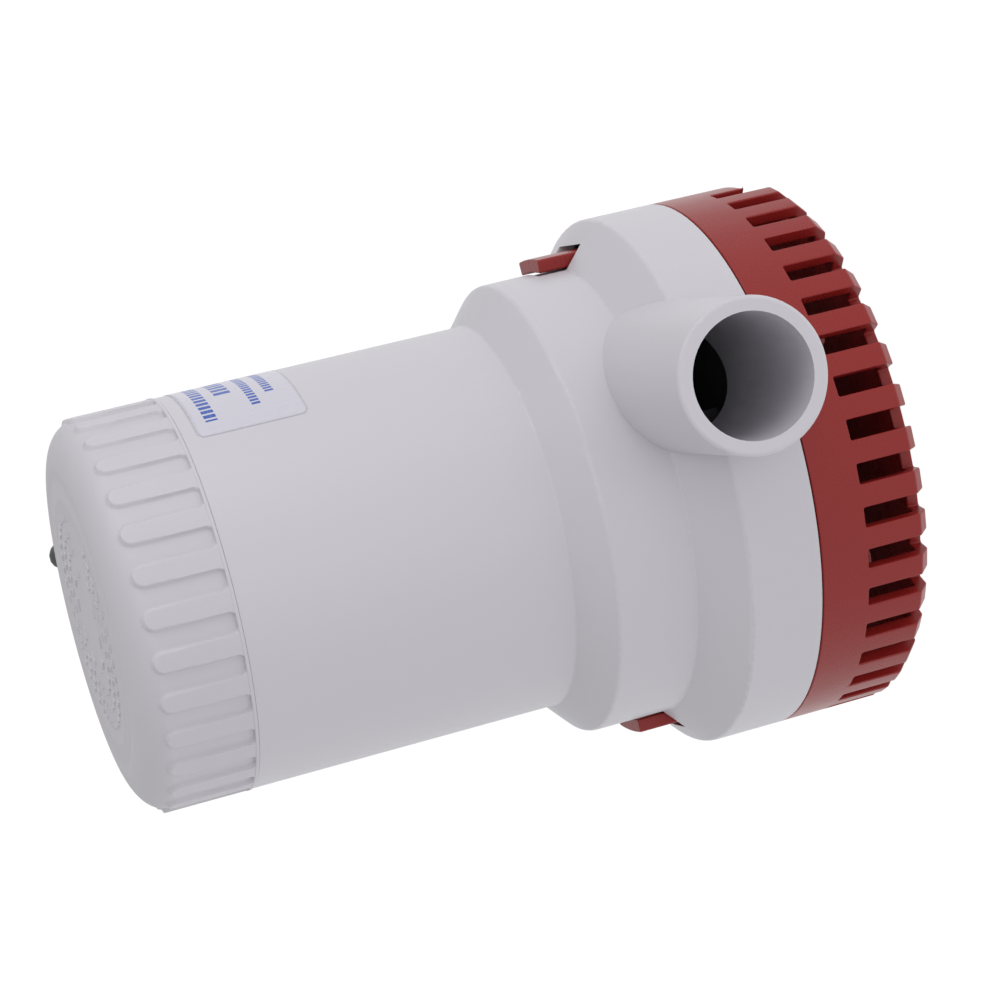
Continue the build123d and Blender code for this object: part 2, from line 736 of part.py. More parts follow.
# ---------------------------------------------------------------- build and write
store("strainer_base", strainer_base())
store("latch_arm_right", latch_arm())
store("latch_arm_left", Rot(0, 0, 180) * latch_arm())
store("pump_housing", pump_housing())
store("volute_cover", volute_cover())
store("cover_screws", cover_screws())
store("end_cap", end_cap())
store("cap_seal_ring", cap_seal_ring())
store("rating_label", rating_label())
store("cable_gland", cable_gland())
store("power_cable", power_cable())
store("cable_coil", cable_coil())
store("cable_tie", cable_tie())
store("positive_lead", lead_tail(1))
store("negative_lead", lead_tail(-1))
store("shaft_seal", shaft_seal())
store("seal_spring", seal_spring())
store("seal_retainer", seal_retainer())
store("drive_end_plate", drive_end_plate())
store("lower_bearing", bearing(low_bearing_z))
store("motor_can", motor_can())
store("magnet_right", magnet(0))
store("magnet_left", magnet(180))
store("brush_end_plate", brush_end_plate())
store("upper_bearing", bearing(top_bearing_z))
store("brush_holders", brush_holders())
store("brush_right", brush())
store("brush_left", Rot(0, 0, 180) * brush())
store("brush_springs", brush_springs())
store("suppression_chokes", suppression_chokes())
store("suppression_capacitor", suppression_capacitor())
store("motor_bolts", motor_bolts())
store("inner_lead_red", inner_lead(1))
store("inner_lead_black", inner_lead(-1))
store("motor_shaft", motor_shaft())
store("armature_core", armature_core())
store("armature_windings", armature_windings())
store("commutator", commutator())
store("thrust_washers", thrust_washers())
store("impeller", impeller())
store("impeller_nut", impeller_nut())

os.makedirs("parts", exist_ok=True)
for name, shape in parts.items():
    export_step(shape, f"parts/{name}.step")
print("cable arc radii", [round(r, 1) for r in route_radii(cable_points)])
cable_length = FilletPolyline(*cable_points, radius=route_radii(cable_points)).length
print("cable run", round(cable_length, 1), "mm, tube volume error",
      round(parts["power_cable"].volume / (pi * cable_r ** 2 * cable_length) - 1, 4))
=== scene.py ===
"""Looks of a submersible bilge pump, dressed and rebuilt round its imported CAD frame.

All lengths are metres in the frame's own axes: +Z runs up the motor shaft, the strainer stands on z = 0,
the outlet points along -Y and the two latches are at +X and -X.
"""

import json
import logging
import math
from dataclasses import dataclass
from enum import Enum

import bmesh
import bpy
import numpy as np
from mathutils import Matrix, Vector

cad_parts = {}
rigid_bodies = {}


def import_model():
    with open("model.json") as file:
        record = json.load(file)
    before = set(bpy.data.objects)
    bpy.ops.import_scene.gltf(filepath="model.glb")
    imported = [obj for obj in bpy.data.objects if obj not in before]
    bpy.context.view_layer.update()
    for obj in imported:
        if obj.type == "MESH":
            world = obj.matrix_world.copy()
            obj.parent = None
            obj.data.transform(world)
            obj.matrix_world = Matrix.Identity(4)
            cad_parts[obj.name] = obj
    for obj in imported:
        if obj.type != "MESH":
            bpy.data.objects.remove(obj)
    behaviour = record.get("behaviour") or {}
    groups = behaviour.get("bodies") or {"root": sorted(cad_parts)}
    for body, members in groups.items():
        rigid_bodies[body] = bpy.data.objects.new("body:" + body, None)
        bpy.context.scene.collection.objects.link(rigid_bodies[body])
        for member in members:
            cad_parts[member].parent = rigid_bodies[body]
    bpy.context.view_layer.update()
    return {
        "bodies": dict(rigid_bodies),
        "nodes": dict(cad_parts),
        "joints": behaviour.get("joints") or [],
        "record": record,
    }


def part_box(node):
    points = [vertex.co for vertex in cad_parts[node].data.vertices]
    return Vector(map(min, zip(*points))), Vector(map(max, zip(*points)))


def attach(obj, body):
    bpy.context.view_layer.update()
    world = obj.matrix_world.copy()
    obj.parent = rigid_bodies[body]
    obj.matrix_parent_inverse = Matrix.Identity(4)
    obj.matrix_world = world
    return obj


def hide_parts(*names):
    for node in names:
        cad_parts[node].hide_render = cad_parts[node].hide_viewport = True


LOG = logging.getLogger("bilge_pump")
MM = 0.001

Colour = tuple[float, float, float]
Point = tuple[float, float, float]


class Part(Enum):
    """The CAD bodies that pieces ride on."""

    STRAINER = "strainer"
    LATCH_RIGHT = "latch_right"
    LATCH_LEFT = "latch_left"
    PUMP = "pump"
    ROTOR = "rotor"


# ------------------------------------------------------------------ shader maths
class Sock:
    """A node socket that takes part in Python arithmetic; each operator adds one Math node."""

    def __init__(self, graph: "Graph", socket: bpy.types.NodeSocket) -> None:
        """Keeps the socket and the graph it belongs to."""
        self.graph = graph
        self.socket = socket

    def math(self, operation: str, *values: "Sock | float") -> "Sock":
        """One Math node.

        Args:
            operation: the Math node's operation.
            values: its inputs, in order.

        Returns:
            The node's result.
        """
        return self.graph.add("ShaderNodeMath", {"operation": operation}, dict(enumerate(values)))

    def __add__(self, other: "Sock | float") -> "Sock":
        """This plus other."""
        return self.math("ADD", self, other)

    __radd__ = __add__

    def __sub__(self, other: "Sock | float") -> "Sock":
        """This less other."""
        return self.math("SUBTRACT", self, other)

    def __rsub__(self, other: "Sock | float") -> "Sock":
        """Other less this."""
        return self.math("SUBTRACT", other, self)

    def __mul__(self, other: "Sock | float") -> "Sock":
        """This times other."""
        return self.math("MULTIPLY", self, other)

    __rmul__ = __mul__

    def __gt__(self, other: "Sock | float") -> "Sock":
        """One where this is the greater."""
        return self.math("GREATER_THAN", self, other)

    def __lt__(self, other: "Sock | float") -> "Sock":
        """One where this is the smaller."""
        return self.math("LESS_THAN", self, other)


class Graph:
    """The node tree of one material, with its Principled shader and its output."""

    def __init__(self, name: str) -> None:
        """Starts a material that holds only its shader and output."""
        self.material = bpy.data.materials.new(name)
        self.material.use_nodes = True
        self.tree = self.material.node_tree
        self.tree.nodes.clear()
        self.shader = self.tree.nodes.new("ShaderNodeBsdfPrincipled")
        output = self.tree.nodes.new("ShaderNodeOutputMaterial")
        self.tree.links.new(self.shader.outputs["BSDF"], output.inputs["Surface"])

    def put(self, target: bpy.types.NodeSocket, value: object) -> None:
        """Links a Sock to an input, or sets the input's own value."""
        if isinstance(value, Sock):
            self.tree.links.new(value.socket, target)
        elif isinstance(value, tuple) and len(value) == 3 and target.type == "RGBA":
            target.default_value = (*value, 1.0)
        else:
            target.default_value = value

    def add(self, kind: str, settings: dict | None = None, inputs: dict | None = None,
            output: str | int = 0) -> Sock:
        """Adds one node.

        Args:
            kind: the node's type.
            settings: attributes set first; "stops" holds a ramp's places and colours.
            inputs: values or Socks, by the input's name or number.
            output: the name or number of the result that is wanted.

        Returns:
            That result.
        """
        node = self.tree.nodes.new(kind)
        for key, value in (settings or {}).items():
            if key == "stops":
                self.set_stops(node.color_ramp, value)
            else:
                setattr(node, key, value)
        for key, value in (inputs or {}).items():
            self.put(node.inputs[key], value)
        return Sock(self, node.outputs[output])

    @staticmethod
    def set_stops(ramp: bpy.types.ColorRamp, stops: list[tuple[float, float]]) -> None:
        """Gives a ramp its grey stops, each a place and a brightness."""
        while len(ramp.elements) < len(stops):
            ramp.elements.new(0.5)
        for element, (place, grey) in zip(ramp.elements, stops):
            element.position = place
            element.color = (grey, grey, grey, 1.0)

    def set(self, **inputs: object) -> None:
        """Sets the shader's inputs, whose names are written with _ for a space."""
        for key, value in inputs.items():
            self.put(self.shader.inputs[key.replace("_", " ")], value)

    def place(self) -> Sock:
        """The point on the surface, in Object coordinates."""
        return self.add("ShaderNodeTexCoord", output="Object")

    def axis(self, vector: Sock, name: str) -> Sock:
        """One coordinate of a vector."""
        return self.add("ShaderNodeSeparateXYZ", inputs={0: vector}, output=name)

    def mapped(self, vector: Sock, scale: Point, move: Point = (0.0, 0.0, 0.0)) -> Sock:
        """A vector scaled and moved by a Mapping node."""
        return self.add("ShaderNodeMapping", inputs={"Vector": vector, "Scale": scale, "Location": move})

    def noise(self, vector: Sock, size: float, detail: float = 2.0, roughness: float = 0.5) -> Sock:
        """Noise from 0 to 1 whose lumps are about size metres across."""
        return self.add("ShaderNodeTexNoise", inputs={
            "Vector": vector, "Scale": 1.0 / size, "Detail": detail, "Roughness": roughness}, output="Fac")

    def speck(self, vector: Sock, size: float, share: float) -> Sock:
        """Small round specks: one at a speck's middle, and 0 away from it."""
        far = self.add("ShaderNodeTexVoronoi", {"feature": "F1"},
                       {"Vector": vector, "Scale": 1.0 / size}, output="Distance")
        return self.add("ShaderNodeMapRange", {"clamp": True}, {0: far, 1: 0.0, 2: share, 3: 1.0, 4: 0.0})

    def ramp(self, value: Sock, *stops: tuple[float, float]) -> Sock:
        """A value sent through grey stops."""
        return self.add("ShaderNodeValToRGB", {"stops": list(stops)}, {0: value})

    def mix(self, share: Sock | float, a: Sock | Colour, b: Sock | Colour) -> Sock:
        """A colour between a, at share 0, and b, at share 1."""
        return self.add("ShaderNodeMix", {"data_type": "RGBA"}, {0: share, 6: a, 7: b}, output=2)

    def bump(self, *layers: tuple[Sock, float]) -> Sock:
        """A normal bent by layers, each a height from 0 to 1 and its depth in metres."""
        normal = None
        for height, depth in layers:
            inputs = {"Height": height, "Distance": depth, "Strength": 1.0}
            if normal is not None:
                inputs["Normal"] = normal
            normal = self.add("ShaderNodeBump", inputs=inputs)
        return normal


def shade(colour: Colour, factor: float) -> Colour:
    """A colour made darker or lighter by a factor."""
    return tuple(min(1.0, channel * factor) for channel in colour)


# ------------------------------------------------------------------ finishes
@dataclass(frozen=True)
class MouldedPlastic:
    """Injection moulded plastic: faint flow mottling, fine grain, and a soft uneven gloss."""

    name: str
    colour: Colour
    roughness: float = 0.35
    uneven: float = 0.08
    mottle: float = 0.05
    grain: float = 0.4 * MM
    grain_depth: float = 0.004 * MM
    wave: float = 9.0 * MM
    wave_depth: float = 0.02 * MM
    gloss: float = 0.5
    dust: float = 0.2
    scatter: float = 0.0
    scatter_radius: Colour = (1.0, 1.0, 1.0)

    def material(self) -> bpy.types.Material:
        """Builds the material."""
        g = Graph(self.name)
        place = g.place()
        flow = g.noise(g.mapped(place, (1.0, 1.0, 0.35)), 22 * MM, 3.0)
        cloud = g.noise(place, 5 * MM, 3.0, 0.6)
        tone = g.mix(flow * 0.7 + cloud * 0.3, shade(self.colour, 1.0 - self.mottle),
                     shade(self.colour, 1.0 + self.mottle))
        dust = g.speck(place, 3.4 * MM, 0.03)
        grain = g.noise(place, self.grain, 1.0)
        g.set(Base_Color=g.mix(dust * self.dust, tone, shade(self.colour, 0.7)),
              Roughness=(cloud - 0.5) * (2 * self.uneven) + grain * 0.04 + self.roughness,
              Normal=g.bump((grain, self.grain_depth), (g.noise(place, self.wave), self.wave_depth)),
              Specular_IOR_Level=self.gloss, IOR=1.5,
              Subsurface_Weight=self.scatter, Subsurface_Scale=0.6 * MM,
              Subsurface_Radius=self.scatter_radius)
        return g.material


@dataclass(frozen=True)
class Rubber:
    """Soft black sheath or moulded rubber, dull with a fine skin."""

    name: str
    colour: Colour
    roughness: float = 0.55
    grain: float = 0.3 * MM

    def material(self) -> bpy.types.Material:
        """Builds the material."""
        g = Graph(self.name)
        place = g.place()
        skin = g.noise(place, self.grain, 2.0)
        scuff = g.noise(g.mapped(place, (1.0, 1.0, 0.3)), 6 * MM, 4.0, 0.65)
        worn = g.ramp(scuff, (0.5, 0.0), (0.75, 1.0))
        g.set(Base_Color=g.mix(worn * 0.5, self.colour, shade(self.colour, 2.2)),
              Roughness=worn * 0.15 + skin * 0.1 + self.roughness,
              Normal=g.bump((skin, 0.01 * MM), (scuff, 0.03 * MM)))
        return g.material


@dataclass(frozen=True)
class TurnedMetal:
    """Drawn or turned metal with fine lines round the shaft and a little tarnish."""

    name: str
    colour: Colour
    roughness: float = 0.3
    tarnish: float = 0.3

    def material(self) -> bpy.types.Material:
        """Builds the material."""
        g = Graph(self.name)
        place = g.place()
        lines = g.noise(g.mapped(place, (0.04, 0.04, 1.0)), 0.12 * MM, 2.0)
        stain = g.ramp(g.noise(place, 7 * MM, 5.0, 0.6), (0.45, 0.0), (0.7, 1.0))
        g.set(Base_Color=g.mix(stain * self.tarnish, self.colour, shade(self.colour, 0.6)),
              Metallic=1.0, Roughness=stain * 0.2 + lines * 0.12 + self.roughness,
              Normal=g.bump((lines, 0.004 * MM)))
        return g.material


@dataclass(frozen=True)
class Pressed:
    """Pressed powder, such as ferrite, carbon or sintered bronze, with its pores."""

    name: str
    colour: Colour
    roughness: float = 0.6
    metallic: float = 0.0
    pore: float = 0.35 * MM

    def material(self) -> bpy.types.Material:
        """Builds the material."""
        g = Graph(self.name)
        place = g.place()
        pores = g.speck(place, self.pore, 0.35)
        cloud = g.noise(place, 3 * MM, 4.0, 0.6)
        g.set(Base_Color=g.mix(cloud, shade(self.colour, 0.75), shade(self.colour, 1.25)),
              Metallic=self.metallic, Roughness=pores * 0.2 + self.roughness,
              Normal=g.bump((1.0 - pores, 0.02 * MM)))
        return g.material


@dataclass(frozen=True)
class WoundCopper:
    """Enamelled wire laid side by side, with painted shade darkening the grooves between the wires."""

    name: str
    colour: Colour
    wire: float = 0.55 * MM

    def material(self) -> bpy.types.Material:
        """Builds the material."""
        g = Graph(self.name)
        place = g.place()
        wire_ridges_and_groove_shade = g.add("ShaderNodeTexWave", {"bands_direction": "DIAGONAL"},
                      {"Vector": place, "Scale": 0.5 / self.wire, "Distortion": 1.5, "Detail": 1.0},
                      output="Fac")
        # Base colour is halved in the grooves between wires: painted shade in the creases, following the same
        # bands as the bump.
        g.set(Base_Color=g.mix(wire_ridges_and_groove_shade, shade(self.colour, 0.5), self.colour), Metallic=0.85,
              Roughness=0.45 - wire_ridges_and_groove_shade * 0.15, Normal=g.bump((wire_ridges_and_groove_shade, 0.12 * MM)))
        return g.material


@dataclass(frozen=True)
class PrintedFilm:
    """Glossy label film with generic blue bars, read from the label's own UV map."""

    name: str
    film: Colour
    ink: Colour
    bars: tuple[tuple[float, float, float, float, float], ...]

    def material(self) -> bpy.types.Material:
        """Builds the material; a row of dashes is (low u, high u, low v, high v, dashes) on the label."""
        g = Graph(self.name)
        uv = g.add("ShaderNodeUVMap")
        u = g.axis(uv, "X")
        v = g.axis(uv, "Y")
        ink = None
        for u0, u1, v0, v1, count in self.bars:
            dash = u.math("FRACT", u * count) < 0.66
            bar = dash * (u > u0) * (u < u1) * (v > v0) * (v < v1)
            ink = bar if ink is None else ink + bar
        place = g.place()
        ripple = g.noise(place, 6 * MM, 2.0)
        worn = g.ramp(g.noise(place, 0.5 * MM, 3.0, 0.7), (0.3, 0.75), (0.45, 1.0))
        g.set(Base_Color=g.mix(ink * worn, self.film, self.ink), Roughness=ripple * 0.1 + 0.22,
              Normal=g.bump((ripple, 0.012 * MM), (g.noise(place, 0.25 * MM), 0.002 * MM)))
        return g.material


# ------------------------------------------------------------------ meshes
class Skin:
    """Points and faces of one piece, gathered as whole arrays."""

    def __init__(self) -> None:
        """Starts with nothing in it."""
        self.points: list[np.ndarray] = []
        self.faces: list[np.ndarray] = []
        self.count = 0

    def grid(self, points: np.ndarray, round_u: bool = False, round_v: bool = False,
             poles: tuple[Point | None, Point | None] = (None, None)) -> "Skin":
        """Adds a sheet of four-sided faces over a grid of points.

        Args:
            points: rows by columns by 3.
            round_u: whether the last column joins the first.
            round_v: whether the last row joins the first.
            poles: points that close the first and the last row with fans.

        Returns:
            This skin.
        """
        rows, columns = points.shape[:2]
        index = np.arange(rows * columns).reshape(rows, columns) + self.count
        if round_u:
            index = np.concatenate([index, index[:, :1]], 1)
        if round_v:
            index = np.concatenate([index, index[:1]], 0)
        quads = np.stack([index[:-1, :-1], index[:-1, 1:], index[1:, 1:], index[1:, :-1]], -1)
        self.points.append(points.reshape(-1, 3))
        self.faces.append(quads.reshape(-1, 4))
        self.count += rows * columns
        for pole, ring in zip(poles, (index[0, ::-1], index[-1])):
            if pole is not None:
                fan = np.stack([ring[:-1], ring[1:], np.full(len(ring) - 1, self.count)], -1)
                self.points.append(np.array([pole], float))
                self.faces.append(fan)
                self.count += 1
        return self

    def build(self, name: str, sharp: float = 40.0) -> bpy.types.Object:
        """Makes the object, with its faces turned outwards.

        Args:
            name: the piece's name.
            sharp: the angle in degrees past which an edge is drawn sharp.

        Returns:
            The new object, at the origin.
        """
        mesh = bpy.data.meshes.new(name)
        loops = np.concatenate([f.ravel() for f in self.faces]).astype(np.int32)
        sizes = np.concatenate([np.full(len(f), f.shape[1]) for f in self.faces])
        starts = np.concatenate([[0], np.cumsum(sizes)[:-1]]).astype(np.int32)
        points = np.concatenate(self.points).astype(np.float32)
        mesh.vertices.add(len(points))
        mesh.vertices.foreach_set("co", points.ravel())
        mesh.loops.add(len(loops))
        mesh.loops.foreach_set("vertex_index", loops)
        mesh.polygons.add(len(sizes))
        mesh.polygons.foreach_set("loop_start", starts)
        mesh.update(calc_edges=True)
        mesh.validate()
        face_outwards(mesh)
        smooth(mesh, sharp)
        return link(bpy.data.objects.new(name, mesh))


def link(obj: bpy.types.Object) -> bpy.types.Object:
    """Puts an object into the scene."""
    bpy.context.scene.collection.objects.link(obj)
    return obj


def face_outwards(mesh: bpy.types.Mesh) -> None:
    """Turns the faces of closed shells outwards."""
    work = bmesh.new()
    work.from_mesh(mesh)
    bmesh.ops.recalc_face_normals(work, faces=work.faces)
    work.to_mesh(mesh)
    work.free()


def smooth(mesh: bpy.types.Mesh, sharp: float) -> None:
    """Shades a mesh smooth, with edges past an angle in degrees kept sharp."""
    mesh.shade_smooth()
    mesh.set_sharp_from_angle(angle=math.radians(sharp))


def rounded(corners: list[tuple[float, float, float]], steps: int = 6) -> np.ndarray:
    """An outline with its corners rounded.

    Each corner becomes an arc tangent to its two sides: with half turn h, the arc starts radius times tan(h)
    from the corner, and its middle lies radius over cos(h) from it, along the bisector.

    Args:
        corners: first and second coordinate and rounding radius of each corner; 0 keeps it square.
        steps: spans in each arc.

    Returns:
        The outline's points, n by 2.
    """
    out = [np.array(corners[0][:2])]
    for before, here, after in zip(corners, corners[1:], corners[2:]):
        p = np.array(here[:2])
        a = np.array(before[:2]) - p
        b = np.array(after[:2]) - p
        a, b = a / np.linalg.norm(a), b / np.linalg.norm(b)
        if here[2] <= 0:
            out.append(p)
            continue
        half = (math.pi - math.acos(float(np.clip(a @ b, -1, 1)))) / 2
        bisector = (a + b) / np.linalg.norm(a + b)
        centre = p + bisector * here[2] / math.cos(half)
        turn = np.linspace(-half, half, steps + 1)
        side = np.array([-bisector[1], bisector[0]])
        side *= np.sign(side @ b)
        out.extend(centre - here[2] * (math.cos(t) * bisector - math.sin(t) * side) for t in turn)
    out.append(np.array(corners[-1][:2]))
    return np.array(out)


def revolved(profile: np.ndarray, angles: np.ndarray) -> np.ndarray:
    """Points of a profile of (radius, height) turned about Z: r cos a, r sin a, z for each angle a."""
    r, z = profile[:, 0], profile[:, 1]
    return np.stack([np.outer(r, np.cos(angles)), np.outer(r, np.sin(angles)),
                     np.repeat(z[:, None], len(angles), 1)], -1)


def around(count: int) -> np.ndarray:
    """Evenly spaced angles of a whole turn, without its end."""
    return np.arange(count) * (2 * math.pi / count)


def step(low: float, high: float, value: np.ndarray) -> np.ndarray:
    """Smooth step from 0 below low to 1 above high: t squared times (3 - 2t)."""
    t = np.clip((value - low) / (high - low), 0.0, 1.0)
    return t * t * (3 - 2 * t)


def dress(obj: bpy.types.Object, finish: object) -> bpy.types.Object:
    """Gives every face of an object one finish."""
    material = finish_of(finish)
    if len(obj.data.materials) == 0:
        obj.data.materials.append(material)
    for number in range(len(obj.material_slots)):
        obj.material_slots[number].link = "OBJECT"
        obj.material_slots[number].material = material
    return obj


MADE: dict[str, bpy.types.Material] = {}


def finish_of(finish: object) -> bpy.types.Material:
    """The material of a finish, made the first time it is asked for."""
    if finish.name not in MADE:
        MADE[finish.name] = finish.material()
    return MADE[finish.name]


def settle(obj: bpy.types.Object, part: Part, slot: str, *nodes: str) -> bpy.types.Object:
    """Lets a piece ride on its body and stand for its CAD nodes.

    Args:
        obj: the piece.
        part: the body it rides on.
        slot: the record's material slot; not used.
        nodes: the CAD nodes that it replaces.

    Returns:
        The piece.
    """
    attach(obj, part.value)
    if nodes:
        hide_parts(*nodes)
    LOG.info("%s rides on %s and stands for %s", obj.name, part.value, ", ".join(nodes) or "nothing")
    return obj


def softened(frame: dict, node: str, name: str, width: float, segments: int = 2,
             angle: float = 32.0, clamp: bool = True) -> bpy.types.Object:
    """A welded copy of a CAD node whose sharp edges are rounded as a mould rounds them.

    Args:
        node: the CAD node.
        name: the new piece's name.
        width: how far the rounding reaches from an edge.
        segments: spans across a rounding.
        angle: edges that turn by less than this many degrees stay.
        clamp: whether a rounding shrinks where it would run past a short edge.

    Returns:
        The new piece, at the origin.
    """
    mesh = frame["nodes"][node].data.copy()
    mesh.name = name
    work = bmesh.new()
    work.from_mesh(mesh)
    bmesh.ops.remove_doubles(work, verts=work.verts, dist=0.002 * MM)
    bmesh.ops.dissolve_limit(work, angle_limit=math.radians(0.6), verts=work.verts, edges=work.edges)
    work.to_mesh(mesh)
    work.free()
    mesh.materials.clear()
    obj = link(bpy.data.objects.new(name, mesh))
    smooth(mesh, 180.0)
    bevel = obj.modifiers.new("rounding", "BEVEL")
    bevel.width = width
    bevel.segments = segments
    bevel.limit_method = "ANGLE"
    bevel.angle_limit = math.radians(angle)
    bevel.miter_outer = "MITER_ARC"
    bevel.use_clamp_overlap = clamp
    weight = obj.modifiers.new("flat faces", "WEIGHTED_NORMAL")
    weight.keep_sharp = True
    weight.weight = 100
    return obj


# ------------------------------------------------------------------ palette
WHITE = MouldedPlastic("housing_plastic", (0.60, 0.585, 0.625), roughness=0.36, mottle=0.012, uneven=0.05,
                       scatter=0.15)
CAP = MouldedPlastic("cap_plastic", (0.585, 0.57, 0.61), roughness=0.47, mottle=0.012, uneven=0.04,
                     grain=0.3 * MM, grain_depth=0.008 * MM, scatter=0.15)
RED = MouldedPlastic("strainer_plastic", (0.27, 0.016, 0.014), roughness=0.26, mottle=0.05, uneven=0.03,
                     gloss=0.38, dust=0.0, wave_depth=0.02 * MM)
GREY = MouldedPlastic("filled_plastic", (0.055, 0.055, 0.06), roughness=0.5, grain_depth=0.01 * MM)
CASE = MouldedPlastic("capacitor_plastic", (0.55, 0.36, 0.04), roughness=0.35)
NYLON = MouldedPlastic("nylon", (0.02, 0.02, 0.021), roughness=0.4)
RED_WIRE = MouldedPlastic("red_insulation", (0.42, 0.02, 0.02), roughness=0.38)
BLACK_WIRE = MouldedPlastic("black_insulation", (0.015, 0.015, 0.016), roughness=0.38)
SHEATH = Rubber("cable_skin", (0.018, 0.018, 0.02), 0.45)
RUBBER = Rubber("moulded_rubber", (0.022, 0.022, 0.023), 0.6)
STAINLESS = TurnedMetal("stainless_steel", (0.62, 0.61, 0.60), 0.25, 0.15)
PLATED = TurnedMetal("plated_steel", (0.46, 0.46, 0.48), 0.34, 0.4)
BRASS = TurnedMetal("brass_strip", (0.68, 0.50, 0.22), 0.3, 0.4)
TINNED = TurnedMetal("tinned_copper", (0.70, 0.52, 0.40), 0.3, 0.3)
SEGMENTS = TurnedMetal("commutator_copper", (0.72, 0.36, 0.2), 0.28, 0.5)
FERRITE = Pressed("ferrite", (0.05, 0.05, 0.055), 0.6)
CARBON = Pressed("carbon", (0.02, 0.02, 0.022), 0.5)
BRONZE = Pressed("sintered_bronze", (0.50, 0.33, 0.16), 0.45, 0.9)
WINDING = WoundCopper("winding_wire", (0.60, 0.20, 0.08))
FILM = PrintedFilm("label_film", (0.60, 0.59, 0.66), (0.02, 0.085, 0.42), (
    (0.09, 0.91, 0.77, 0.88, 26), (0.30, 0.72, 0.53, 0.68, 20), (0.13, 0.88, 0.35, 0.43, 36),
    (0.22, 0.79, 0.18, 0.26, 36)))

CAD_FINISHES = {
    "volute_cover": GREY, "impeller": GREY, "brush_end_plate": GREY, "suppression_capacitor": CASE,
    "cover_screws": STAINLESS, "motor_bolts": STAINLESS, "impeller_nut": STAINLESS, "motor_shaft": STAINLESS,
    "seal_retainer": STAINLESS, "seal_spring": STAINLESS, "brush_springs": STAINLESS,
    "cap_seal_ring": RUBBER, "shaft_seal": RUBBER, "thrust_washers": NYLON,
    "inner_lead_red": RED_WIRE, "inner_lead_black": BLACK_WIRE, "drive_end_plate": PLATED,
    "motor_can": PLATED, "armature_core": PLATED, "magnet_right": FERRITE, "magnet_left": FERRITE,
    "suppression_chokes": FERRITE, "brush_right": CARBON, "brush_left": CARBON, "lower_bearing": BRONZE,
    "upper_bearing": BRONZE, "brush_holders": BRASS, "armature_windings": WINDING, "commutator": SEGMENTS,
}


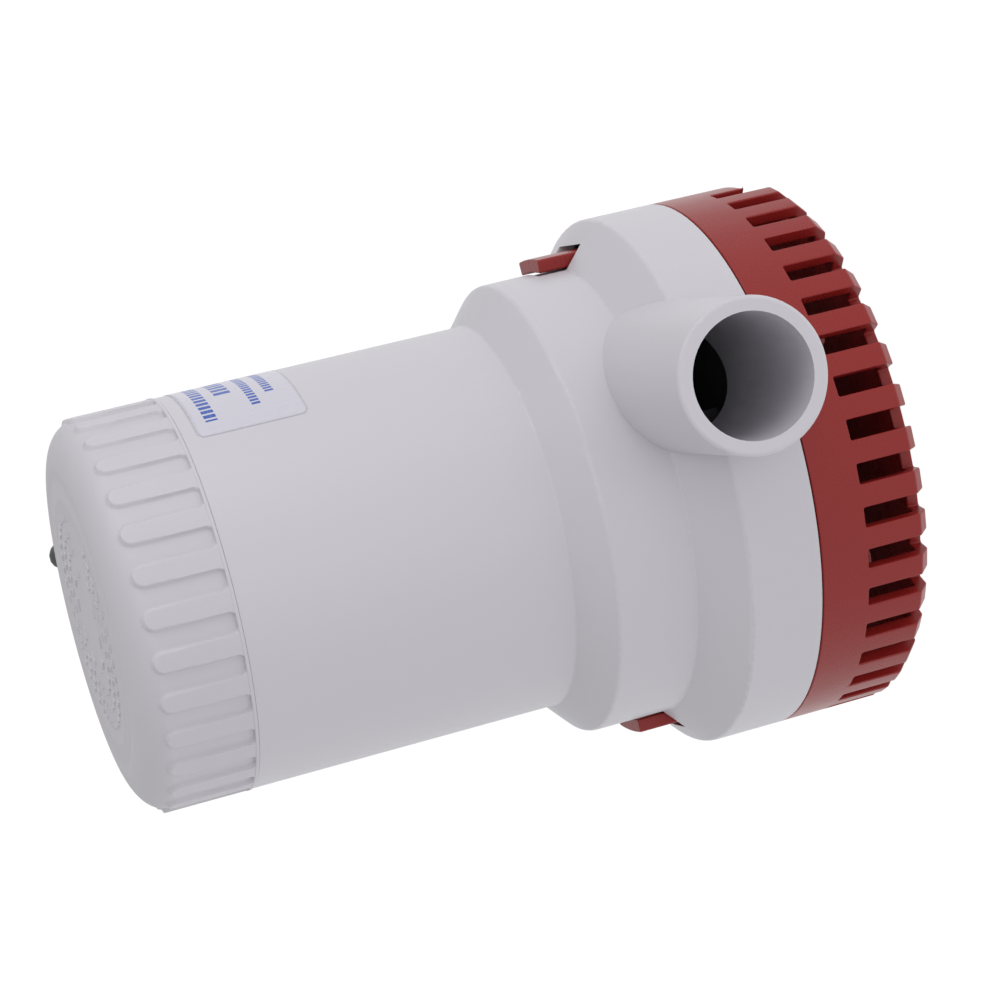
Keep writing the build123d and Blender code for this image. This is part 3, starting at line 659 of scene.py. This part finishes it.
# ------------------------------------------------------------------ end cap
@dataclass
class EndCap:
    """Ribbed cap over the motor, with its seam rim and its flat marked end."""

    top: float
    seam: float
    rib_r: float = 38.9 * MM
    body_r: float = 38.15 * MM
    rim_r: float = 39.0 * MM
    rim_h: float = 0.9 * MM
    wall: float = 2.6 * MM
    corner_w: float = 9.0 * MM
    corner_h: float = 5.8 * MM
    rib_count: int = 30
    rib_w: float = 4.1 * MM
    rib_length: float = 17.3 * MM
    rib_phase: float = 3.0
    edge: float = 0.15 * MM
    columns_per_rib: int = 38
    foot_drop: float = 0.65 * MM
    tip_soft: float = 0.7
    spigot_r: float = 36.0 * MM
    spigot_h: float = 8.2 * MM
    spigot_wall: float = 5.5 * MM
    groove_up: float = 4.2 * MM
    groove_half: float = 1.1 * MM
    groove_depth: float = 1.5 * MM

    @property
    def face_z(self) -> float:
        """Height of the flat end, a little under the rounded corner's crest."""
        return self.top - 0.1 * MM

    def outer_rows(self) -> np.ndarray:
        """Profile from the end face's middle to the seam, closest together where the ribs end."""
        face_r = np.array([3, 8, 14, 20, 23.6, 24.0, 24.4, 24.8, 27.6, 27.9, 28.2]) * MM
        dip = np.array([0, 0, 0, 0, 0, 0.12, 0.12, 0, 0, -0.1, -0.1]) * MM
        face = np.stack([face_r, self.face_z + dip], 1)
        a = np.radians(np.concatenate([np.linspace(88, 30, 12), np.linspace(26, 0, 11)]))
        corner = np.stack([self.body_r - self.corner_w * (1 - np.cos(a)),
                           self.top - self.corner_h * (1 - np.sin(a))], 1)
        valley_end = self.seam + self.rim_h + 2.1 * MM
        z = np.concatenate([
            np.linspace(self.top - self.corner_h - 0.25 * MM, self.seam + 14.2 * MM, 6),
            np.linspace(self.seam + 13 * MM, valley_end + 0.8 * MM, 6),
            np.linspace(valley_end, self.seam + 0.8 * MM, 15)])
        wall = np.stack([np.full(len(z), self.body_r), z], 1)
        return np.concatenate([face, corner, wall])

    def inner_rows(self) -> np.ndarray:
        """Profile from the rim round the spigot and its groove to the inside's middle."""
        inside = self.body_r - self.wall
        low = self.seam - self.spigot_h
        groove = low + self.groove_up
        deep = self.spigot_r - self.groove_depth
        return rounded([
            (self.rim_r - 0.06 * MM, self.seam + 0.75 * MM, 0), (self.rim_r, self.seam + 0.68 * MM, 0.03 * MM),
            (self.rim_r, self.seam + 0.05 * MM, 0.22 * MM), (self.spigot_r, self.seam + 0.05 * MM, 0),
            (self.spigot_r, groove + self.groove_half, 0), (deep, groove + self.groove_half, 0),
            (deep, groove - self.groove_half, 0), (self.spigot_r, groove - self.groove_half, 0),
            (self.spigot_r, low, 0.4 * MM), (self.spigot_r - self.spigot_wall, low, 0.4 * MM),
            (self.spigot_r - self.spigot_wall, self.seam - MM, 0), (inside, self.seam + MM, 0),
            (inside, self.top - self.corner_h, 0), (self.body_r - self.corner_w, self.top - self.wall, 0),
            (8 * MM, self.top - self.wall, 0)], 3)

    def raised(self, across: np.ndarray, z: np.ndarray) -> np.ndarray:
        """How far the surface is raised from the body, 0 to 1.

        A rib is a bar with a round end. A valley is the gap between two ribs, with a round end near the seam.
        The value is a smooth step over the distance to their common outline.

        Args:
            across: distance along the wall from the nearest rib's middle line.
            z: height.

        Returns:
            The share of the rib's height at each point.
        """
        pitch = 2 * math.pi * self.rib_r / self.rib_count
        half = self.rib_w / 2
        valley_half = (pitch - self.rib_w) / 2
        tip = self.seam + self.rib_length - half
        foot = self.seam + self.rim_h + valley_half - self.foot_drop
        from_valley = pitch / 2 - np.abs(across)
        out_of_valley = np.where(z < foot, np.hypot(from_valley, z - foot), from_valley) - valley_half
        in_rib = half - np.where(z > tip, np.hypot(across, z - tip), np.abs(across))
        middle = (tip + foot) / 2
        soft = self.edge * (1 + self.tip_soft * step(middle, tip, z))
        return step(-1.0, 1.0, np.where(z < middle, out_of_valley, in_rib) / soft)

    def surface(self) -> bpy.types.Object:
        """The whole cap as one closed surface."""
        turn = around(self.rib_count * self.columns_per_rib) + math.radians(self.rib_phase - 90.0)
        rows = self.outer_rows()
        pitch_angle = 2 * math.pi / self.rib_count
        phase = (np.arange(len(turn)) % self.columns_per_rib) / self.columns_per_rib
        across = (phase - np.round(phase)) * pitch_angle * self.rib_r
        share = self.raised(across[None, :], rows[:, 1][:, None])
        on_wall = (rows[:, 1] < self.top - 0.6 * self.corner_h)[:, None]
        radius = rows[:, :1] + np.where(on_wall, share, 0.0) * (self.rib_r - rows[:, :1])
        outer = np.stack([radius * np.cos(turn), radius * np.sin(turn),
                          np.repeat(rows[:, 1:], len(turn), 1)], -1)
        points = np.concatenate([outer, revolved(self.inner_rows(), turn)])
        poles = ((0.0, 0.0, self.face_z), (0.0, 0.0, self.top - self.wall))
        return Skin().grid(points, round_u=True, poles=poles).build("end_cap_moulding", 60.0)

    def marks(self) -> bpy.types.Object:
        """Rows of small raised bars in rings on the end face, with no wording.

        Each bar is a low mound: a grid over its plan whose height falls to 0 at its rim.
        """
        skin = Skin()
        u = np.array([-1.0, -0.8, 0.8, 1.0])
        height = np.outer([0, 1, 1, 0], [0, 1, 1, 0]) * 0.36 * MM - 0.05 * MM
        rings = ((20.5, 40, 1.7), (17.2, 34, 1.6), (13.9, 26, 1.7), (9.6, 10, 3.0))
        for ring_r, count, length in rings:
            for angle in around(count)[: int(count * 0.9)]:
                r = ring_r * MM + u[:, None] * 0.6 * MM
                a = angle + u[None, :] * length * MM / (ring_r * MM) * 0.5
                z = self.face_z + height
                skin.grid(np.stack([r * np.cos(a), r * np.sin(a), z], -1))
        return skin.build("cap_marks", 30.0)

    def make(self) -> None:
        """Builds and dresses the cap and its marks."""
        settle(dress(self.surface(), CAP), Part.PUMP, "cap_plastic", "end_cap")
        settle(dress(self.marks(), CAP), Part.PUMP, "cap_plastic")


# ------------------------------------------------------------------ softened mouldings
@dataclass
class Mouldings:
    """The housing, the strainer and the latch arms, with the edges that a mould leaves."""

    frame: dict

    def make(self) -> None:
        """Builds and dresses each moulding."""
        housing = softened(self.frame, "pump_housing", "housing_moulding", 0.45 * MM, 2)
        settle(dress(housing, WHITE), Part.PUMP, "white_plastic", "pump_housing")
        strainer = softened(self.frame, "strainer_base", "strainer_moulding", 0.32 * MM, 3, clamp=False)
        settle(dress(strainer, RED), Part.STRAINER, "red_plastic", "strainer_base")
        for node, part in (("latch_arm_right", Part.LATCH_RIGHT), ("latch_arm_left", Part.LATCH_LEFT)):
            arm = softened(self.frame, node, node + "_moulding", 0.75 * MM, 4)
            settle(dress(arm, RED), part, "red_plastic", node)


# ------------------------------------------------------------------ label
@dataclass
class Label:
    """Printed film wrapped on the casing."""

    radius: float = 38.8 * MM
    thickness: float = 0.08 * MM
    glue: float = 0.02 * MM
    corner: float = 1.2 * MM
    bottom: float = 106.0 * MM
    height: float = 21.5 * MM
    start: float = 52.5
    arc: float = 68.0

    def make(self) -> None:
        """Builds the film as a closed thin shell with a UV map over its outside."""
        corner = self.corner
        u = np.linspace(0, 1, 61)
        v = np.linspace(0, 1, 25)
        angle = np.radians(self.start - 90.0 + self.arc * u)
        width = math.radians(self.arc) * self.radius
        inset = np.zeros_like(v)
        low = v * self.height
        from_end = np.minimum(low, self.height - low)
        near = from_end < corner
        inset[near] = corner - np.sqrt(corner ** 2 - (corner - from_end[near]) ** 2)
        shrink = 1 - 2 * inset / width
        middle = (angle[0] + angle[-1]) / 2
        a = middle + (angle[None, :] - middle) * shrink[:, None]
        z = np.repeat((self.bottom + low)[:, None], len(u), 1)
        r = self.radius + self.thickness
        obj = Skin().grid(np.stack([r * np.cos(a), r * np.sin(a), z], -1)).build("label_sheet", 30.0)
        uv = obj.data.uv_layers.new(name="UVMap")
        flat = np.stack([np.repeat(u[None, :], len(v), 0), np.repeat(v[:, None], len(u), 1)], -1).reshape(-1, 2)
        index = np.zeros(len(obj.data.loops), np.int32)
        obj.data.loops.foreach_get("vertex_index", index)
        uv.data.foreach_set("uv", flat[index].astype(np.float32).ravel())
        thick = obj.modifiers.new("film", "SOLIDIFY")
        thick.thickness = self.thickness - self.glue
        thick.offset = -1.0
        settle(dress(obj, FILM), Part.PUMP, "label_film", "rating_label")


# ------------------------------------------------------------------ cable
@dataclass
class Cable:
    """Gland, sheathed cable with its coiled spare length, tie and two bare-ended cores."""

    radius: float = 2.5 * MM
    route: tuple[Point, ...] = (
        (7.3, 53.5, 144.5), (7.45, 54.6, 144.5), (7.6, 68.0, 147.6), (9.6, 96.0, 134.0), (12.4, 113.0, 98.0),
        (14.0, 124.0, 64.0), (14.0, 126.0, 34.0), (16.0, 110.0, 14.5),
    )
    coil_x: float = -14.4 * MM
    coil_y: float = 93.9 * MM
    coil_r: float = 26.0 * MM
    tie_t: float = 1.2 * MM
    tie_w: float = 3.6 * MM
    lead_r: float = 1.1 * MM
    points_per_turn: int = 24
    gland_angle: float = 7.8
    gland_z: float = 144.5 * MM
    tail: float = 4.0 * MM

    def coil_turns(self) -> np.ndarray:
        """Centres of the coil's strand, clockwise from the side at +X.

        The strand lies on the top row at the outside, steps inwards a column at a time, drops to the bottom
        row and steps outwards again. Each step is spread over part of a turn, where the next turn isn't yet.

        Returns:
            Control points, n by 3, whose smooth line has the coil's radii.
        """
        pitch = 2 * self.radius
        half_step = math.pi / self.points_per_turn
        sweep = np.arange(0, 1980 + 1e-6, 360 / self.points_per_turn)
        inwards = step(285, 325, sweep) + step(645, 685, sweep)
        outwards = step(1255, 1295, sweep) + step(1615, 1655, sweep)
        r = self.coil_r + pitch * (1 - inwards + outwards)
        z = self.tie_t + self.radius + pitch * (1 - step(950, 990, sweep))
        a = -np.radians(sweep)
        r = r / math.cos(half_step)
        return np.stack([self.coil_x + r * np.cos(a), self.coil_y + r * np.sin(a), z], 1)

    def line(self, name: str, points: np.ndarray, radius: float, finish: object) -> bpy.types.Object:
        """A round cord along a smooth NURBS line.

        Args:
            name: the piece's name.
            points: control points in metres.
            radius: the cord's radius.
            finish: what it is dressed in.

        Returns:
            The curve object.
        """
        curve = bpy.data.curves.new(name, "CURVE")
        curve.dimensions = "3D"
        curve.bevel_depth = radius
        curve.bevel_resolution = 5
        curve.use_fill_caps = True
        spline = curve.splines.new("NURBS")
        spline.points.add(len(points) - 1)
        spline.points.foreach_set("co", np.c_[points, np.ones(len(points))].ravel())
        spline.order_u = 3
        spline.use_endpoint_u = True
        spline.resolution_u = 8
        return dress(link(bpy.data.objects.new(name, curve)), finish)

    def gland(self) -> bpy.types.Object:
        """Moulded collar and tapered boot, turned about the cable's first stretch."""
        neck, collar, tip = 3.2 * MM, 4.2 * MM, 3.1 * MM
        start, face, end = 33.0 * MM, 39.05 * MM, 53.9 * MM
        groove = [(x, r, 0.25 * MM) for i in range(3) for x, r in (
            (face + (3.6 + 3 * i) * MM, (3.72 - 0.2 * i) * MM), (face + (3.7 + 3 * i) * MM, 2.95 * MM),
            (face + (4.6 + 3 * i) * MM, 2.95 * MM), (face + (4.7 + 3 * i) * MM, (3.66 - 0.2 * i) * MM))]
        outline = rounded([
            (start, 0.1 * MM, 0), (start, neck, 0.4 * MM), (face, neck, 0), (face, collar, 0.3 * MM),
            (face + 1.9 * MM, collar, 0.5 * MM), (face + 2.2 * MM, 3.85 * MM, 0.3 * MM), *groove,
            (end, tip, 0.35 * MM), (end, 0.1 * MM, 0)], 4)
        turn = around(40)
        a = math.radians(90.0 - self.gland_angle)
        along = np.array([math.cos(a), math.sin(a), 0.0])
        side = np.array([-math.sin(a), math.cos(a), 0.0])
        up = np.array([0.0, 0.0, 1.0])
        middle = np.array([0.0, 0.0, self.gland_z])
        ring = np.cos(turn)[:, None] * side + np.sin(turn)[:, None] * up
        points = middle + outline[:, 0, None, None] * along + outline[:, 1, None, None] * ring[None]
        poles = tuple(tuple(middle + outline[i, 0] * along) for i in (0, -1))
        return Skin().grid(points, round_u=True, poles=poles).build("gland_boot", 50.0)

    def tie(self) -> bpy.types.Object:
        """Flat band round the coil's section with its ratchet head and cut tail."""
        pitch = 2 * self.radius
        high = 2 * pitch
        y0 = self.coil_y + self.coil_r - 1.5 * pitch - 0.4 * MM
        y1 = self.coil_y + self.coil_r + 1.5 * pitch + 0.4 * MM
        z0, z1 = self.tie_t, self.tie_t + high
        skin = Skin()
        corner = 1.6 * MM
        loop = []
        for cy, cz, first in ((y0 + corner, z0 + corner, 180), (y1 - corner, z0 + corner, 270),
                              (y1 - corner, z1 - corner, 0), (y0 + corner, z1 - corner, 90)):
            for a in np.radians(np.linspace(first, first + 90, 7)):
                loop.append((cy, cz, math.cos(a), math.sin(a)))
        loop = np.array(loop)
        section = np.array([(corner, -0.5), (corner + self.tie_t, -0.5), (corner + self.tie_t, 0.5),
                            (corner, 0.5)])
        reach = section[:, 0][None, :]
        points = np.stack([np.repeat((self.coil_x + section[:, 1] * self.tie_w)[None], len(loop), 0),
                           loop[:, :1] + loop[:, 2:3] * reach, loop[:, 1:2] + loop[:, 3:4] * reach], -1)
        skin.grid(points, round_u=True, round_v=True)
        head_y, head_z = y1 - 2 * MM, z1 + self.tie_t + 1.4 * MM
        self.box(skin, (self.coil_x, head_y, head_z), (3.0 * MM, 2.6 * MM, 1.5 * MM))
        self.box(skin, (self.coil_x, head_y - 5.0 * MM, head_z - 0.3 * MM), (1.8 * MM, 3.2 * MM, 0.5 * MM))
        obj = skin.build("coil_tie_band", 35.0)
        bevel = obj.modifiers.new("rounding", "BEVEL")
        bevel.width = 0.25 * MM
        bevel.segments = 2
        bevel.limit_method = "ANGLE"
        return obj

    @staticmethod
    def box(skin: Skin, middle: Point, half: Point) -> None:
        """Adds a closed block to a skin, as a square tube with two square ends."""
        square = np.array([(-1, -1), (1, -1), (1, 1), (-1, 1)], float)
        rows = [(-1, 0.0), (-1, 1.0), (1, 1.0), (1, 0.0)]
        points = np.array([[(x * half[0] * s, y * half[1] * s, z * half[2]) for x, y in square]
                           for z, s in rows])
        skin.grid(points[1:3] + np.array(middle), round_u=True,
                  poles=tuple(tuple(np.array(middle) + (0, 0, z * half[2])) for z in (-1, 1)))

    def core(self, side: int) -> np.ndarray:
        """Route of one insulated core from the sheath's end along the floor."""
        x = self.coil_x - self.coil_r - 2 * self.radius + side * 1.3 * MM
        y = self.coil_y + 3.0 * MM
        moves = ((0.0, 0.0, 2.6), (0.4, 14.0, 1.5), (3.5, 30.0, 1.1), (7.0, 44.0, 1.1))
        return np.array([(x + side * dx * MM, y + dy * MM, z * MM) for dx, dy, z in moves])

    def strands(self, side: int) -> bpy.types.Object:
        """Twisted bare strands at a core's end: seven wires wound in one turn each."""
        end = self.core(side)
        along = (end[-1] - end[-2]) / np.linalg.norm(end[-1] - end[-2])
        across = np.array([-along[1], along[0], 0.0])
        up = np.array([0.0, 0.0, 1.0])
        t = np.linspace(0, 1, 17)
        ring = around(6)
        skin = Skin()
        for wire in range(7):
            offset = 0.0 if wire == 6 else 0.36 * MM
            a = wire * math.pi / 3 + t * 2.2 * math.pi
            centre = (end[-1] + along * (-1.0 * MM + 7.0 * MM * t[:, None])
                      + offset * (np.cos(a)[:, None] * across + np.sin(a)[:, None] * up))
            wall = 0.18 * MM * (np.cos(ring)[:, None] * across + np.sin(ring)[:, None] * up)
            skin.grid(centre[:, None] + wall[None], round_u=True, poles=(tuple(centre[0]), tuple(centre[-1])))
        name = "positive" if side > 0 else "negative"
        return dress(skin.build(name + "_strands", 50.0), TINNED)

    def make(self) -> None:
        gland = settle(dress(self.gland(), RUBBER), Part.PUMP, "black_rubber", "cable_gland")
        turns = self.coil_turns()
        tail = turns[-1] + np.array([0.0, self.tail, 0.0])
        points = np.concatenate([np.array(self.route) * MM, turns, tail[None]])
        sheath = settle(self.line("supply_cable", points, self.radius, SHEATH), Part.PUMP, "cable_sheath",
                        "power_cable", "cable_coil")
        tie = settle(dress(self.tie(), NYLON), Part.PUMP, "nylon", "cable_tie")
        for side, node, slot, finish in ((1, "positive_lead", "red_wire", RED_WIRE),
                                         (-1, "negative_lead", "black_wire", BLACK_WIRE)):
            route = self.core(side)
            core = settle(self.line(node + "_core", route, self.lead_r, finish), Part.PUMP, slot, node)
            bare = settle(self.strands(side), Part.PUMP, slot)


# ------------------------------------------------------------------ studio
@dataclass
class Studio:
    """Pale floor, soft lights and the camera."""

    camera_place: Point = (63.35 * MM, -543.4 * MM, 220.47 * MM)
    target: Point = (5.165 * MM, 0.602 * MM, 68.02 * MM)
    roll: float = 104.177
    lens: float = 104.22
    floor_light: Colour = (0.86, 0.86, 0.87)
    sky_light: float = 0.60

    def floor(self) -> None:
        """A very wide pale floor just under the strainer."""
        half = 20.0
        points = np.array([[(x, y, -0.3 * MM) for x in (-half, half)] for y in (-half, half)])
        obj = Skin().grid(points).build("studio_floor")
        g = Graph("studio_floor")
        seen = g.add("ShaderNodeLightPath", output="Is Camera Ray")
        lit = g.mix(g.noise(g.place(), 0.3), shade(self.floor_light, 0.98), shade(self.floor_light, 1.02))
        g.set(Base_Color=(0.04, 0.04, 0.04), Roughness=0.9, Specular_IOR_Level=0.0,
              Emission_Color=g.mix(seen, lit, (1.0, 1.0, 1.0)), Emission_Strength=1.0)
        obj.data.materials.append(g.material)

    def lamp(self, name: str, place: Point, aim: Point, size: float, watts: float, tint: Colour) -> None:
        """A square soft light.

        Args:
            name: its name.
            place: where it stands, in metres.
            aim: the point it faces.
            size: its side.
            watts: its power.
            tint: its colour.
        """
        light = bpy.data.lights.new(name, "AREA")
        light.shape = "SQUARE"
        light.size = size
        light.energy = watts
        light.color = tint
        obj = link(bpy.data.objects.new(name, light))
        obj.location = place
        direction = Vector(aim) - Vector(place)
        obj.rotation_mode = "QUATERNION"
        obj.rotation_quaternion = direction.to_track_quat("-Z", "Y")

    def camera(self) -> None:
        """The camera, rolled about its line of sight."""
        data = bpy.data.cameras.new("camera")
        data.lens = self.lens
        data.sensor_width = 36.0
        data.clip_start = 0.01
        data.clip_end = 100.0
        place = Vector(self.camera_place)
        ahead = (Vector(self.target) - place).normalized()
        right = ahead.cross(Vector((0.0, 0.0, 1.0))).normalized()
        down = ahead.cross(right)
        c, s = math.cos(math.radians(self.roll)), math.sin(math.radians(self.roll))
        across = c * right + s * down
        below = -s * right + c * down
        turn = Matrix((across, -below, -ahead)).transposed().to_4x4()
        obj = link(bpy.data.objects.new("camera", data))
        obj.matrix_world = Matrix.Translation(place) @ turn
        bpy.context.scene.camera = obj

    def sky(self) -> None:
        """White surroundings as the camera sees them, and softer ones as light."""
        world = bpy.data.worlds.new("studio")
        world.use_nodes = True
        tree = world.node_tree
        path = tree.nodes.new("ShaderNodeLightPath")
        scale = tree.nodes.new("ShaderNodeMath")
        scale.operation = "MULTIPLY_ADD"
        scale.inputs[1].default_value = 1.0 - self.sky_light
        scale.inputs[2].default_value = self.sky_light
        back = tree.nodes["Background"]
        back.inputs["Color"].default_value = (1.0, 1.0, 1.0, 1.0)
        tree.links.new(path.outputs["Is Camera Ray"], scale.inputs[0])
        tree.links.new(scale.outputs[0], back.inputs["Strength"])
        bpy.context.scene.world = world

    def make(self) -> None:
        """Sets the whole studio."""
        self.floor()
        self.camera()
        self.sky()
        aim = (0.0, 0.0, 0.07)
        white = (1.0, 1.0, 1.0)
        self.lamp("key", (0.95, -0.45, 0.25), aim, 0.7, 2.2, white)
        self.lamp("front", (0.1, -1.1, 0.35), aim, 0.5, 0.9, white)
        self.lamp("top", (0.75, -0.25, 0.85), aim, 0.6, 1.1, white)
        bpy.context.scene.view_settings.view_transform = "Standard"


def main() -> None:
    """Builds every piece round the frame."""
    logging.basicConfig(level=logging.INFO, format="%(name)s: %(message)s")
    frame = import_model()
    Studio().make()
    Cable().make()
    cap_low, cap_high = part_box("end_cap")
    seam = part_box("pump_housing")[1].z
    EndCap(top=cap_high.z, seam=seam).make()
    Mouldings(frame).make()
    Label().make()
    for node, finish in CAD_FINISHES.items():
        dress(frame["nodes"][node], finish)


if __name__ == "__main__":
    main()
